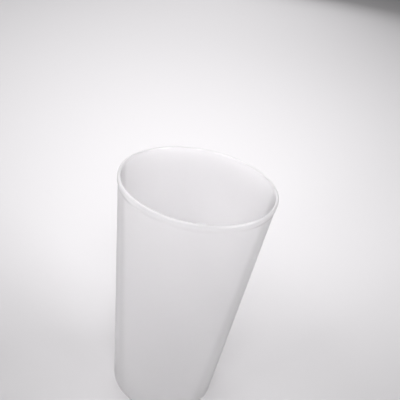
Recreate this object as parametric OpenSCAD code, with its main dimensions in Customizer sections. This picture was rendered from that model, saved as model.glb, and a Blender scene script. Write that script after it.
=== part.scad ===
// Reusable drinking cup, moulded in one piece from frosted polypropylene.
// Millimetres. The cup stands on z = 0 with its axis on Z.

/* [Body] */
// Outside diameter of the side wall at the height of the mouth
mouth_d = 85; // [82:0.5:92]
// Outside diameter of the side wall at the table
foot_d = 62; // [58:0.5:66]
// Height from the table to the top of the lip
cup_h = 140; // [120:1:160]
// Thickness of the side wall
wall_t = 1.4; // [1.2:0.1:2]

/* [Lip] */
// How far the lip band stands out from the side wall
lip_proud = 0.4; // [0.2:0.1:0.8]
// Height of the lip band
lip_h = 3.4; // [2.4:0.1:6]
// Blend radius where the band meets the side wall
lip_blend = 0.5; // [0.2:0.1:0.5]

/* [Base] */
// Thickness of the floor
floor_t = 1.8; // [1.5:0.1:2.4]
// Height of the recess under the floor, at its edge
recess_h = 3; // [2:0.1:5]
// How much the recess rises from its edge to its middle
dome_h = 0.7; // [0.2:0.1:1.5]
// Width of the ring that the cup stands on
ring_w = 2; // [1.8:0.1:3]
// Edge radius on the outside of the ring
ring_r = 0.7; // [0.3:0.1:1]
// Radius inside the cup, between floor and wall
floor_r = 4; // [2:0.5:6]

/* [Gate mark] */
// Diameter of the shallow dimple round the moulding gate
dimple_d = 14; // [10:1:20]
// Depth of the dimple
dimple_h = 0.5; // [0.3:0.1:0.6]
// Diameter of the gate nub in the dimple
gate_d = 2.6; // [2:0.2:4]
// Height of the gate nub
gate_h = 0.4; // [0.2:0.1:0.6]

/* [Stacking ribs] */
// Number of ribs that a nested cup comes to rest on
rib_count = 8; // [6:1:12]
// Thickness of a rib
rib_w = 1.4; // [1:0.1:2]
// Play between the walls of two nested cups
nest_play = 0.4; // [0.2:0.1:0.8]

/* [Hidden] */

frosted_white = [0.89, 0.885, 0.89];
turns = 180;            // facets round the axis in a preview
arc_steps = 8;          // straight steps in each rounded corner
dome_steps = 10;        // straight steps from the edge of the dome to its middle

// The side wall, as radii that grow with height
lean = (mouth_d - foot_d) / 2 / cup_h;
wall_x = wall_t * sqrt(1 + lean * lean);
function outer_r(z) = foot_d / 2 + lean * z;
function inner_r(z) = outer_r(z) - wall_x;

// The lip: its top is as round as its thickness allows, and the step under
// the band is a slope of 45 degrees that leaves room for two blends
lip_x = wall_x + lip_proud;
lip_round = 0.49 * lip_x;
lip_z = cup_h - lip_h;
step_round = min(lip_blend, 1.25 * lip_proud);

// The base: floor and recess keep the same dome, so the floor is evenly thick
ring_draft = 0.3;       // how much the inside of the ring opens towards the table
ring_inner = foot_d / 2 - ring_w;
dome_r = ring_inner - ring_draft;
floor_z = recess_h + floor_t;
function dome(r) = dome_h * (1 - pow(min(r, dome_r) / dome_r, 2));

// The ribs end where a nested cup's ring meets them
nest_z = (wall_x + nest_play) / lean;
rib_reach = nest_play + ring_w;
rib_round = 0.5;        // radius on the top inner corner of a rib

function unit(v) = v / norm(v);
function turned(v, a) = [v.x * cos(a) - v.y * sin(a), v.x * sin(a) + v.y * cos(a)];

// The arc of radius r that replaces corner b on the way from a to c
function rounded_corner(a, b, c, r) =
    let (
        back = unit(a - b),
        on = unit(c - b),
        half = acos(back * on) / 2,
        centre = b + unit(back + on) * r / sin(half),
        start = b + back * r / tan(half) - centre,
        end = b + on * r / tan(half) - centre,
        turn = (180 - 2 * half) * sign(cross(start, end))
    )
    [for (i = [0 : arc_steps]) centre + turned(start, turn * i / arc_steps)];

// Corners are [x, y, radius]; a radius of 0 keeps the corner sharp
function rounded(corners) =
    let (last = len(corners) - 1)
    [for (i = [0 : last])
        let (
            a = corners[i == 0 ? last : i - 1],
            b = corners[i],
            c = corners[i == last ? 0 : i + 1]
        )
        each b[2] == 0
            ? [[b.x, b.y]]
            : rounded_corner([a.x, a.y], [b.x, b.y], [c.x, c.y], b[2])];

// A domed surface from radius r0 out to r1, at height z over its edge
function domed(r0, r1, z) =
    [for (i = [0 : dome_steps])
        let (r = r0 + (r1 - r0) * i / dome_steps)
        [r, z + dome(r), 0]];

function reversed(list) = [for (i = [len(list) - 1 : -1 : 0]) list[i]];

// Underside, from the axis out to the table: gate nub, dimple, recess, ring
function underside() =
    let (
        dimple_z = recess_h + dome(dimple_d / 2) + dimple_h,
        dimple_foot = dimple_d / 2 - 2 * dimple_h
    )
    concat(
        [
            [0, dimple_z - gate_h, 0],
            [gate_d / 2, dimple_z - gate_h, 0],
            [gate_d / 2, dimple_z, 0],
            [dimple_foot, dimple_z, 0]
        ],
        domed(dimple_d / 2, dome_r, recess_h),
        [
            [ring_inner, 0, ring_r / 3],
            [foot_d / 2, 0, ring_r]
        ]
    );

// Outside, lip and inside, from the table round to the floor's edge
function sides() =
    [
        [outer_r(lip_z), lip_z, step_round],
        [outer_r(lip_z + lip_proud) + lip_proud, lip_z + lip_proud, step_round],
        [outer_r(cup_h) + lip_proud, cup_h, lip_round],
        [inner_r(cup_h), cup_h, lip_round],
        [inner_r(floor_z), floor_z, floor_r]
    ];

function floor_top() =
    reversed(domed(0, dome_r - floor_r, floor_z));

module shell() {
    rotate_extrude($fn = turns)
        polygon(rounded(concat(underside(), sides(), floor_top())));
}

// One rib, at angle 0: a tapered fin rooted in the wall and the floor
module rib() {
    root_z = floor_z - floor_t / 2;
    tip_top = inner_r(nest_z) - rib_reach;
    tip_root = inner_r(root_z) - rib_reach;
    root_x = wall_x / 2;
    outline = rounded([
        [inner_r(root_z) + root_x, root_z, 0],
        [inner_r(nest_z) + root_x, nest_z, 0],
        [tip_top, nest_z, rib_round],
        [tip_root, root_z, 0]
    ]);
    rotate([90, 0, 0])
        linear_extrude(height = rib_w, center = true)
            polygon(outline);
}

module cup() {
    color(frosted_white)
        union() {
            shell();
            for (i = [0 : rib_count - 1])
                rotate(i * 360 / rib_count) rib();
        }
}

cup();
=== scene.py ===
"""A frosted plastic drinking cup on a pale studio floor.

Metres, with +Z up and the origin on the table, under the middle of the cup.
"""

from math import cos, pi, radians, sin, sqrt, tan

import bmesh
import bpy
from mathutils import Matrix, Vector


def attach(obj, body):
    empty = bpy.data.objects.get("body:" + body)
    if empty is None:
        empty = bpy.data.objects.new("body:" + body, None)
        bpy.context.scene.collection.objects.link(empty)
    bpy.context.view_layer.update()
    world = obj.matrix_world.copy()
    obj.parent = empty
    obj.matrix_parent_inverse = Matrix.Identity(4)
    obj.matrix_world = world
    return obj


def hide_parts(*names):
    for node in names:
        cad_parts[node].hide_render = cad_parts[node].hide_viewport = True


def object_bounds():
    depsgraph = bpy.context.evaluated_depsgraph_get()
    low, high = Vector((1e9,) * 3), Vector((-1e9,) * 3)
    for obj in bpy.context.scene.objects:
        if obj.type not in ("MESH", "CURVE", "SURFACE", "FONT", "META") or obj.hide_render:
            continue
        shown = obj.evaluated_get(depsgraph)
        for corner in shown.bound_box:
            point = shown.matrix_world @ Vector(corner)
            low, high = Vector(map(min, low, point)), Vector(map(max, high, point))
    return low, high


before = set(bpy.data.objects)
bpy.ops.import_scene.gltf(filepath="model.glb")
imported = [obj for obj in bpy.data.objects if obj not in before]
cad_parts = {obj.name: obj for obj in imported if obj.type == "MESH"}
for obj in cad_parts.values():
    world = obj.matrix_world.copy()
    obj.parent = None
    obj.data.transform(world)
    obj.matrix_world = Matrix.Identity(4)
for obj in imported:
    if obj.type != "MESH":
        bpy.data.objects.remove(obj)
cad_low, cad_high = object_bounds()

MM = 0.001

# The side wall: R is a radius of its outside, T a thickness
CUP_H = cad_high.z
MOUTH_R = 42.5 * MM
FOOT_R = 31 * MM
WALL_T = 1.4 * MM

# The lip: how far it stands out from the wall, and the height of its band
LIP_PROUD = 0.4 * MM
LIP_H = 3.4 * MM
# How far under the band the wall starts to swell towards it, and how softly it does
LIP_EASE = 1.2 * MM
LIP_BLEND = 4 * MM

# The floor of the cup, the recess under it and the ring that the cup stands on
FLOOR_T = 1.8 * MM
FLOOR_ROUND = 4 * MM
RECESS_H = 3 * MM
DOME_H = 0.7 * MM
RING_W = 2 * MM
RING_ROUND = 0.7 * MM
RING_INNER_ROUND = RING_ROUND / 3
RING_DRAFT = 0.3 * MM

# The dimple in the middle of the recess, and the mark of the moulding gate in it
DIMPLE_R = 7 * MM
DIMPLE_H = 0.5 * MM
DIMPLE_ROUND = 0.5 * MM
GATE_R = 1.3 * MM
GATE_H = 0.4 * MM
GATE_ROUND = 0.15 * MM

# The ribs inside, and the play that they leave between two stacked cups
RIB_COUNT = 8
RIB_W = 1.4 * MM
RIB_ROUND = 0.35 * MM
NEST_PLAY = 0.4 * MM

# How finely the curves are divided
TURNS = 192
ROUND_STEPS = 6
DOME_STEPS = 8
RIB_STEPS = 4
# Points nearer to each other than this become one
WELD = 0.001 * MM
# Edges that turn by more degrees than this stay sharp
SHARP_TURN = 35

# The blasted grain starts to fade this far up the lip's band, and is gone this far under its top
BLASTED_BAND = 1.2 * MM
SMOOTH_TOP = 0.7 * MM

# The painted pool of light on the floor. The near line is where the plane through the camera,
# square to
# its view, meets the floor: this far in front of the middle of the cup
NEAR_LINE = 0.424
POOL_MIDDLE = (-0.005, 1.29, 0)
POOL_SIZE = (0.85, 2.34, 1)
STUDIO_FLOOR_R = 4

# What follows from the cup's sizes
LEAN = (MOUTH_R - FOOT_R) / CUP_H
WALL_X = WALL_T * sqrt(1 + LEAN * LEAN)
LIP_X = WALL_X + LIP_PROUD
LIP_Z = CUP_H - LIP_H
# As round as the lip's thickness allows
LIP_ROUND = 0.49 * LIP_X
RING_INNER = FOOT_R - RING_W
DOME_R = RING_INNER - RING_DRAFT
FLOOR_Z = RECESS_H + FLOOR_T
NEST_Z = (WALL_X + NEST_PLAY) / LEAN
RIB_REACH = NEST_PLAY + RING_W


def outer_r(z):
    """Radius of the wall's outside at height z."""
    return FOOT_R + LEAN * z


def inner_r(z):
    """Radius of the wall's inside at height z."""
    return outer_r(z) - WALL_X


def dome(r):
    """Height of the domed floor over its edge, at radius r."""
    return DOME_H * (1 - (min(r, DOME_R) / DOME_R) ** 2)


def domed(r0, r1, z):
    """Corners of the domed surface whose edge is at height z, from radius r0 to r1."""
    radii = [r0 + (r1 - r0) * i / DOME_STEPS for i in range(DOME_STEPS + 1)]
    return [(r, z + dome(r), 0) for r in radii]


def cup_section():
    """The cup's section, from the axis out under the cup, up the outside and back down the inside.

    Each corner is its radius from the axis, its height and how much it is rounded.
    """
    dimple_z = RECESS_H + dome(DIMPLE_R) + DIMPLE_H
    under = [
        (0, dimple_z - GATE_H, 0),
        (GATE_R, dimple_z - GATE_H, GATE_ROUND),
        (GATE_R, dimple_z, GATE_ROUND),
        (DIMPLE_R - 2 * DIMPLE_H, dimple_z, DIMPLE_ROUND),
    ]
    ring = [
        (RING_INNER, 0, RING_INNER_ROUND),
        (FOOT_R, 0, RING_ROUND),
    ]
    lip = [
        (outer_r(LIP_Z - LIP_EASE), LIP_Z - LIP_EASE, LIP_BLEND),
        (outer_r(LIP_Z + LIP_PROUD) + LIP_PROUD, LIP_Z + LIP_PROUD, LIP_BLEND),
        (outer_r(CUP_H) + LIP_PROUD, CUP_H, LIP_ROUND),
        (inner_r(CUP_H), CUP_H, LIP_ROUND),
    ]
    # The first of these only rings the wall just over the ribs, so that their joint stays below it
    inside = [
        (inner_r(NEST_Z + MM), NEST_Z + MM, 0),
        (inner_r(FLOOR_Z), FLOOR_Z, FLOOR_ROUND),
    ]
    floor = domed(DOME_R - FLOOR_ROUND, 0, FLOOR_Z)
    return under + domed(DIMPLE_R, DOME_R, RECESS_H) + ring + lip + inside + floor


def rounded_wire(bm, corners, steps):
    """Joins the corners with edges, in the plane of X and Z, and rounds each by its own radius."""
    verts = [bm.verts.new((x, 0, z)) for x, z, _ in corners]
    for a, b in zip(verts, verts[1:]):
        bm.edges.new((a, b))
    rounds = []
    for i, (_, _, radius) in enumerate(corners):
        if radius:
            turn = (verts[i].co - verts[i - 1].co).angle(verts[i + 1].co - verts[i].co)
            rounds.append((verts[i], radius * tan(turn / 2)))
    for vert, offset in rounds:
        bmesh.ops.bevel(bm, geom=[vert], affect="VERTICES", offset=offset, offset_type="OFFSET",
                        segments=steps, profile=0.5, material=-1)


def verts_of(geom):
    """The vertices among what a mesh operator gives back."""
    return [v for v in geom if isinstance(v, bmesh.types.BMVert)]


def new_piece(name, bm):
    """Makes the mesh an object of that name, shaded smooth except across sharp edges."""
    for face in bm.faces:
        face.smooth = True
    for edge in bm.edges:
        edge.smooth = edge.calc_face_angle(0) < radians(SHARP_TURN)
    mesh = bpy.data.meshes.new(name)
    bm.to_mesh(mesh)
    bm.free()
    piece = bpy.data.objects.new(name, mesh)
    bpy.context.scene.collection.objects.link(piece)
    return piece


def turned_shell():
    """The cup without its ribs, turned from its section."""
    bm = bmesh.new()
    rounded_wire(bm, cup_section(), ROUND_STEPS)
    bmesh.ops.spin(bm, geom=bm.verts[:] + bm.edges[:], cent=(0, 0, 0), axis=(0, 0, 1),
                   angle=2 * pi, steps=TURNS, use_merge=True)
    bmesh.ops.remove_doubles(bm, verts=bm.verts, dist=WELD)
    bmesh.ops.recalc_face_normals(bm, faces=bm.faces)
    return new_piece("cup_shell", bm)


def stacking_ribs():
    """The ribs inside, each a fin rooted in the wall and the floor."""
    root_z = FLOOR_Z - FLOOR_T / 2
    outline = [
        (inner_r(root_z) + WALL_X / 2, root_z),
        (inner_r(NEST_Z) + WALL_X / 2, NEST_Z),
        (inner_r(NEST_Z) - RIB_REACH, NEST_Z),
        (inner_r(root_z) - RIB_REACH, root_z),
    ]
    bm = bmesh.new()
    side = bm.faces.new([bm.verts.new((x, -RIB_W / 2, z)) for x, z in outline])
    grown = bmesh.ops.extrude_face_region(bm, geom=[side])["geom"]
    bmesh.ops.translate(bm, verts=verts_of(grown), vec=(0, RIB_W, 0))
    bmesh.ops.recalc_face_normals(bm, faces=bm.faces)
    inner_x = inner_r(NEST_Z) - RIB_REACH / 2
    shown = [e for e in bm.edges if all(v.co.x < inner_x for v in e.verts)]
    top = [e for e in bm.edges if all(v.co.z > NEST_Z - MM for v in e.verts)]
    bmesh.ops.bevel(bm, geom=list(set(shown + top)), affect="EDGES", offset=RIB_ROUND,
                    offset_type="OFFSET", segments=RIB_STEPS, profile=0.5, material=-1)
    rib = bm.verts[:] + bm.edges[:] + bm.faces[:]
    for i in range(1, RIB_COUNT):
        copy = bmesh.ops.duplicate(bm, geom=rib)["geom"]
        turn = Matrix.Rotation(2 * pi * i / RIB_COUNT, 3, "Z")
        bmesh.ops.rotate(bm, verts=verts_of(copy), cent=(0, 0, 0), matrix=turn)
    return new_piece("cup_ribs", bm)


def joined(name, shell, ribs):
    """One closed mesh of the shell and the ribs, which the cup is moulded as."""
    union = shell.modifiers.new("ribs", "BOOLEAN")
    union.operation = "UNION"
    union.solver = "EXACT"
    union.object = ribs
    bpy.context.view_layer.update()
    solid = shell.evaluated_get(bpy.context.evaluated_depsgraph_get())
    bm = bmesh.new()
    bm.from_mesh(solid.data)
    bpy.data.objects.remove(shell)
    bpy.data.objects.remove(ribs)
    bmesh.ops.remove_doubles(bm, verts=bm.verts, dist=WELD)
    return new_piece(name, bm)


def frosted_plastic():
    """Milky polypropylene, satin all over from a sand-blasted mould and smoother on the lip."""
    mat = bpy.data.materials.new("frosted_polypropylene")
    mat.use_nodes = True
    nodes, links = mat.node_tree.nodes, mat.node_tree.links
    shader = nodes["Principled BSDF"]
    shader.inputs["IOR"].default_value = 1.49
    shader.inputs["Transmission Weight"].default_value = 0.66

    place = nodes.new("ShaderNodeTexCoord")
    height = nodes.new("ShaderNodeSeparateXYZ")
    links.new(place.outputs["Object"], height.inputs["Vector"])

    # 1 on the top of the lip, 0 on the lowest third of its band and on all below
    on_lip = nodes.new("ShaderNodeMapRange")
    on_lip.interpolation_type = "SMOOTHSTEP"
    on_lip.inputs["From Min"].default_value = LIP_Z + BLASTED_BAND
    on_lip.inputs["From Max"].default_value = CUP_H - SMOOTH_TOP
    links.new(height.outputs["Z"], on_lip.inputs["Value"])

    # The lip shines a little
    polish = nodes.new("ShaderNodeMath")
    polish.operation = "MULTIPLY"
    polish.inputs[1].default_value = 0.6
    links.new(on_lip.outputs["Result"], polish.inputs[0])
    links.new(polish.outputs[0], shader.inputs["Coat Weight"])
    shader.inputs["Coat Roughness"].default_value = 0.15

    # Wide soft clouds, where the milky plastic is a little thinner or thicker
    clouds = nodes.new("ShaderNodeTexNoise")
    clouds.inputs["Scale"].default_value = 22
    clouds.inputs["Detail"].default_value = 2
    links.new(place.outputs["Object"], clouds.inputs["Vector"])
    milk = nodes.new("ShaderNodeMix")
    milk.data_type = "RGBA"
    milk.inputs["A"].default_value = (0.955, 0.943, 0.955, 1)
    milk.inputs["B"].default_value = (0.985, 0.973, 0.985, 1)
    links.new(clouds.outputs["Fac"], milk.inputs["Factor"])

    # Painted shade: darker towards the foot, where less light reaches the wall
    upwards = nodes.new("ShaderNodeMapRange")
    upwards.inputs["From Max"].default_value = CUP_H
    links.new(height.outputs["Z"], upwards.inputs["Value"])
    painted_foot_shade = nodes.new("ShaderNodeMix")
    painted_foot_shade.data_type = "RGBA"
    painted_foot_shade.inputs["A"].default_value = (0.86, 0.85, 0.86, 1)
    links.new(upwards.outputs["Result"], painted_foot_shade.inputs["Factor"])
    links.new(milk.outputs["Result"], painted_foot_shade.inputs["B"])

    # Painted shade near the outline, where the wall is seen edgewise: darker there, partly for the
    # longer path through the plastic and partly for the dimmer light on the cup's sides
    off_lip = nodes.new("ShaderNodeMath")
    off_lip.operation = "SUBTRACT"
    off_lip.inputs[0].default_value = 1
    links.new(on_lip.outputs["Result"], off_lip.inputs[1])
    grazing = nodes.new("ShaderNodeLayerWeight")
    outline_shade_mask = nodes.new("ShaderNodeMapRange")
    outline_shade_mask.interpolation_type = "SMOOTHSTEP"
    outline_shade_mask.inputs["From Min"].default_value = 0.6
    outline_shade_mask.inputs["From Max"].default_value = 0.72
    links.new(off_lip.outputs[0], outline_shade_mask.inputs["To Max"])
    links.new(grazing.outputs["Facing"], outline_shade_mask.inputs["Value"])
    painted_outline_shade = nodes.new("ShaderNodeMix")
    painted_outline_shade.data_type = "RGBA"
    painted_outline_shade.inputs["B"].default_value = (0.79, 0.78, 0.79, 1)
    links.new(outline_shade_mask.outputs["Result"], painted_outline_shade.inputs["Factor"])
    links.new(painted_foot_shade.outputs["Result"], painted_outline_shade.inputs["A"])
    links.new(painted_outline_shade.outputs["Result"], shader.inputs["Base Color"])

    # The satin varies with the clouds, and the lip is smoother
    satin = nodes.new("ShaderNodeMapRange")
    satin.inputs["To Min"].default_value = 0.46
    satin.inputs["To Max"].default_value = 0.54
    links.new(clouds.outputs["Fac"], satin.inputs["Value"])
    roughness = nodes.new("ShaderNodeMix")
    roughness.inputs["B"].default_value = 0.28
    links.new(on_lip.outputs["Result"], roughness.inputs["Factor"])
    links.new(satin.outputs["Result"], roughness.inputs["A"])
    links.new(roughness.outputs["Result"], shader.inputs["Roughness"])

    # The fine grain that the sand-blasted mould leaves, none of it on the top of the lip
    grain = nodes.new("ShaderNodeTexNoise")
    grain.inputs["Scale"].default_value = 2200
    grain.inputs["Detail"].default_value = 2
    links.new(place.outputs["Object"], grain.inputs["Vector"])
    blasted = nodes.new("ShaderNodeMapRange")
    blasted.inputs["To Min"].default_value = 0.12
    blasted.inputs["To Max"].default_value = 0
    links.new(on_lip.outputs["Result"], blasted.inputs["Value"])
    relief = nodes.new("ShaderNodeBump")
    relief.inputs["Distance"].default_value = 0.02 * MM
    links.new(blasted.outputs["Result"], relief.inputs["Strength"])
    links.new(grain.outputs["Fac"], relief.inputs["Height"])
    links.new(relief.outputs["Normal"], shader.inputs["Normal"])
    return mat


def pale_floor():
    """A pale sheet with a painted pool of light: brightest behind the cup, dimmer towards the near
    side and the distance.
    """
    mat = bpy.data.materials.new("pale_floor")
    mat.use_nodes = True
    nodes, links = mat.node_tree.nodes, mat.node_tree.links
    shader = nodes["Principled BSDF"]
    shader.inputs["Roughness"].default_value = 0.9
    shader.inputs["Specular IOR Level"].default_value = 0

    place = nodes.new("ShaderNodeTexCoord")
    across = nodes.new("ShaderNodeSeparateXYZ")
    links.new(place.outputs["Object"], across.inputs["Vector"])

    # Divided by the distance from the near line, places on the floor lie as the camera sees them
    reach = nodes.new("ShaderNodeMath")
    reach.operation = "ADD"
    reach.inputs[1].default_value = NEAR_LINE
    links.new(across.outputs["Y"], reach.inputs[0])
    sideways = nodes.new("ShaderNodeMath")
    sideways.operation = "DIVIDE"
    links.new(across.outputs["X"], sideways.inputs[0])
    links.new(reach.outputs[0], sideways.inputs[1])
    nearness = nodes.new("ShaderNodeMath")
    nearness.operation = "DIVIDE"
    nearness.inputs[0].default_value = 1
    links.new(reach.outputs[0], nearness.inputs[1])
    spot = nodes.new("ShaderNodeCombineXYZ")
    links.new(sideways.outputs[0], spot.inputs["X"])
    links.new(nearness.outputs[0], spot.inputs["Y"])

    # 0 in the middle of the pool, 1 at its edge
    pool = nodes.new("ShaderNodeMapping")
    pool.vector_type = "TEXTURE"
    pool.inputs["Location"].default_value = POOL_MIDDLE
    pool.inputs["Scale"].default_value = POOL_SIZE
    links.new(spot.outputs["Vector"], pool.inputs["Vector"])
    out = nodes.new("ShaderNodeVectorMath")
    out.operation = "LENGTH"
    links.new(pool.outputs["Vector"], out.inputs[0])
    dimmed = nodes.new("ShaderNodeMapRange")
    dimmed.interpolation_type = "SMOOTHSTEP"
    links.new(out.outputs["Value"], dimmed.inputs["Value"])
    # Painted light: the floor's colour is paler in the pool and darker outside it
    sheet = nodes.new("ShaderNodeMix")
    sheet.data_type = "RGBA"
    sheet.inputs["A"].default_value = (0.836, 0.818, 0.836, 1)
    sheet.inputs["B"].default_value = (0.302, 0.296, 0.302, 1)
    links.new(dimmed.outputs["Result"], sheet.inputs["Factor"])
    links.new(sheet.outputs["Result"], shader.inputs["Base Color"])
    return mat


def studio_floor():
    """The floor, which reaches past the far corners of the picture."""
    bm = bmesh.new()
    bmesh.ops.create_circle(bm, cap_ends=True, segments=96, radius=STUDIO_FLOOR_R)
    floor = new_piece("studio_floor", bm)
    floor.data.materials.append(pale_floor())


# The soft boxes stand round the cup and point at its upper half
BOX_AIM = Vector((0, 0, 0.1))
BOX_AWAY = 1.6
SKY_LEVEL = 0.12


def softbox(name, turn, lift, size, level):
    """A square soft lamp, turned from the camera's side to the right and lifted, both in degrees.

    At a level of 1 it would by itself show a white sheet that faces it as white.
    """
    lamp = bpy.data.lights.new(name, "AREA")
    lamp.shape = "SQUARE"
    lamp.size = size
    lamp.energy = level * (pi * BOX_AWAY) ** 2
    box = bpy.data.objects.new(name, lamp)
    around, up = radians(turn), radians(lift)
    away = Vector((sin(around) * cos(up), -cos(around) * cos(up), sin(up)))
    box.location = BOX_AIM + away * BOX_AWAY
    box.rotation_euler = away.to_track_quat("Z", "Y").to_euler()
    box.visible_camera = False
    bpy.context.scene.collection.objects.link(box)


def studio_light():
    """Soft boxes over and round the cup, and an even light from all sides."""
    softbox("front_box", 0, 45, 0.9, 0.54)
    softbox("right_box", 90, 45, 0.9, 0.38)
    softbox("left_box", -60, 45, 0.9, 0.44)
    softbox("back_left_box", -150, 45, 0.9, 0.24)
    softbox("back_box", 180, 20, 0.9, 0.14)
    # The low ones light the wall's outside and hardly reach into the mouth
    softbox("low_right_box", 60, 6, 0.35, 0.4)
    softbox("low_front_box", -30, 6, 0.35, 0.28)
    softbox("low_left_box", -90, 6, 0.6, 0.27)
    world = bpy.data.worlds.new("studio")
    bpy.context.scene.world = world
    world.use_nodes = True
    sky = world.node_tree.nodes["Background"]
    sky.inputs["Color"].default_value = (1, 1, 1, 1)
    sky.inputs["Strength"].default_value = SKY_LEVEL


# The camera looks down into the mouth, with its right side tipped up by the roll, in degrees
CAMERA_AT = (0, -268.3 * MM, 278.9 * MM)
CAMERA_AIM = (2.29 * MM, 0, 129.3 * MM)
CAMERA_ROLL = 11.07
LENS_MM = 51.75
SENSOR_MM = 36


def camera():
    """The camera at the photograph's angle."""
    data = bpy.data.cameras.new("camera")
    data.lens = LENS_MM
    data.sensor_width = SENSOR_MM
    data.clip_start = 0.01
    cam = bpy.data.objects.new("camera", data)
    look = (Vector(CAMERA_AIM) - Vector(CAMERA_AT)).to_track_quat("-Z", "Y").to_matrix()
    tipped = look @ Matrix.Rotation(radians(CAMERA_ROLL), 3, "Z")
    cam.matrix_world = Matrix.LocRotScale(Vector(CAMERA_AT), tipped, None)
    bpy.context.scene.collection.objects.link(cam)
    bpy.context.scene.camera = cam


camera()
cup = joined("frosted_cup", turned_shell(), stacking_ribs())
cup.data.materials.append(frosted_plastic())
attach(cup, "root")
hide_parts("cup")

studio_floor()
studio_light()
bpy.context.scene.view_settings.view_transform = "Standard"
